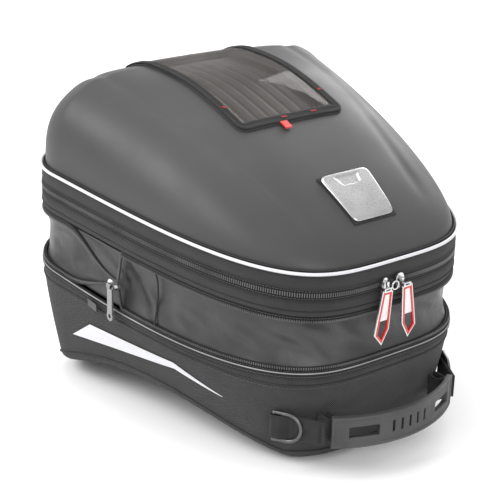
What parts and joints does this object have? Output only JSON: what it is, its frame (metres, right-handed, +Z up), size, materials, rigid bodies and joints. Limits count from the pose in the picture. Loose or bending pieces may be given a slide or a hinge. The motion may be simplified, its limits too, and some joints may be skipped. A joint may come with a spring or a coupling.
{
  "type": "motorcycle tank bag",
  "caption": "Expandable tank bag with a hinged moulded lid, clear telephone pocket, zipped gusset, quick-lock ring, carrying handle and D-rings.",
  "frame": {"origin": "on the axis of the quick-lock ring's bore, at the ring's mid height, where the bag sits on the tank", "axes": "+Z up along the bore, -Y towards the carrying handle and the rider, +Y the far end, X across the bag"},
  "size_m": [0.309, 0.3634, 0.2795],
  "materials": {
    "base_fabric": "woven polyester over moulded foam",
    "lining_fabric": "smooth lining",
    "board_plastic": "satin",
    "lock_plastic": "moulded",
    "steel": "zinc plated",
    "red_plastic": "gloss",
    "webbing": "ribbed webbing",
    "reflective": "reflective film",
    "binding": "folded tape",
    "zip_tape": "coil zip",
    "gusset_nylon": "coated nylon with a soft sheen",
    "band_fabric": "fine woven polyester",
    "slider_metal": "polished",
    "tab_metal": "satin",
    "lid_shell_skin": "matt soft-touch moulded foam",
    "handle_rubber": "moulded",
    "ring_metal": "dark nickel",
    "badge_metal": "satin",
    "gasket": "matt",
    "window_film": "clear flexible film",
    "pocket_fabric": "soft binding",
    "pad_fabric": "brushed pad"
  },
  "bodies": {
    "base": {"base_shell": "base_fabric", "base_floor": "base_fabric", "base_lining": "lining_fabric", "floor_board": "board_plastic", "lock_ring": "lock_plastic", "lock_backing_plate": "steel", "lock_screws": "steel", "reflective_flash_left": "reflective", "reflective_flash_right": "reflective", "base_binding": "binding", "lower_expansion_chain": "zip_tape", "expansion_gusset": "gusset_nylon", "expansion_zip_garage": "lock_plastic", "expansion_slider": "slider_metal", "handle_strap": "handle_rubber", "handle_anchor_left": "webbing", "handle_anchor_right": "webbing", "d_ring_strap_left": "webbing", "d_ring_strap_right": "webbing"},
    "release": {"release_slider": "red_plastic", "release_strap": "webbing"},
    "expansion_tab": {"expansion_pull_tab": "tab_metal"},
    "d_ring_left_body": {"d_ring_left": "ring_metal"},
    "d_ring_right_body": {"d_ring_right": "ring_metal"},
    "collar": {"upper_expansion_chain": "zip_tape", "collar_band": "band_fabric", "collar_lining": "lining_fabric", "collar_hoop": "board_plastic", "main_zip_lower_chain": "zip_tape", "main_slider_left": "slider_metal", "main_slider_right": "slider_metal", "slider_lock_ring": "slider_metal"},
    "pull_left": {"pull_frame_left": "red_plastic", "pull_inlay_left": "slider_metal"},
    "pull_right": {"pull_frame_right": "red_plastic", "pull_inlay_right": "slider_metal"},
    "lid": {"main_zip_upper_chain": "zip_tape", "lid_band": "band_fabric", "lid_piping": "reflective", "lid_shell": "lid_shell_skin", "lid_lining": "lining_fabric", "lid_hinge_fabric": "gusset_nylon", "pocket_back_pad": "pad_fabric", "pocket_rim_wall": "pocket_fabric", "pocket_far_wall": "pocket_fabric", "badge_gasket": "gasket", "badge_plate": "badge_metal"},
    "pocket_cover": {"pocket_cover_frame": "pocket_fabric", "pocket_window": "window_film", "pocket_pull_loop": "red_plastic"}
  },
  "joints": [
    {"name": "expansion_collapse", "type": "slide", "parent": "base", "child": "collar", "axis": [0, 0, 1], "range_m": [-0.035, 0], "deforming": ["expansion_gusset"]},
    {"name": "lid_hinge", "type": "hinge", "parent": "collar", "child": "lid", "pos_m": [0, 0.17, 0.1656], "axis": [-1, 0, 0], "range_deg": [0, 100]},
    {"name": "pocket_cover_hinge", "type": "hinge", "parent": "lid", "child": "pocket_cover", "pos_m": [0, 0.1333, 0.24504], "axis": [-1, 0, 0], "range_deg": [0, 70]},
    {"name": "left_pull_swing", "type": "hinge", "parent": "collar", "child": "pull_left", "pos_m": [-0.0165, -0.1756, 0.1319], "axis": [-1, 0, 0], "range_deg": [0, 120]},
    {"name": "right_pull_swing", "type": "hinge", "parent": "collar", "child": "pull_right", "pos_m": [0.0045, -0.1756, 0.1319], "axis": [-1, 0, 0], "range_deg": [0, 120]},
    {"name": "expansion_tab_swing", "type": "hinge", "parent": "base", "child": "expansion_tab", "pos_m": [-0.15028, 0.012, 0.10174], "axis": [0, 1, 0], "range_deg": [0, 130]},
    {"name": "left_d_ring_swing", "type": "hinge", "parent": "base", "child": "d_ring_left_body", "pos_m": [-0.0946, -0.1366, 0.02], "axis": [0, 0, 1], "range_deg": [-150, 0]},
    {"name": "right_d_ring_swing", "type": "hinge", "parent": "base", "child": "d_ring_right_body", "pos_m": [0.0946, -0.1366, 0.02], "axis": [0, 0, 1], "range_deg": [0, 150]},
    {"name": "lock_release", "type": "slide", "parent": "base", "child": "release", "axis": [0, -1, 0], "range_m": [0, 0.007], "stiffness_N_per_m": 300, "springref_m": -0.002}
  ]
}
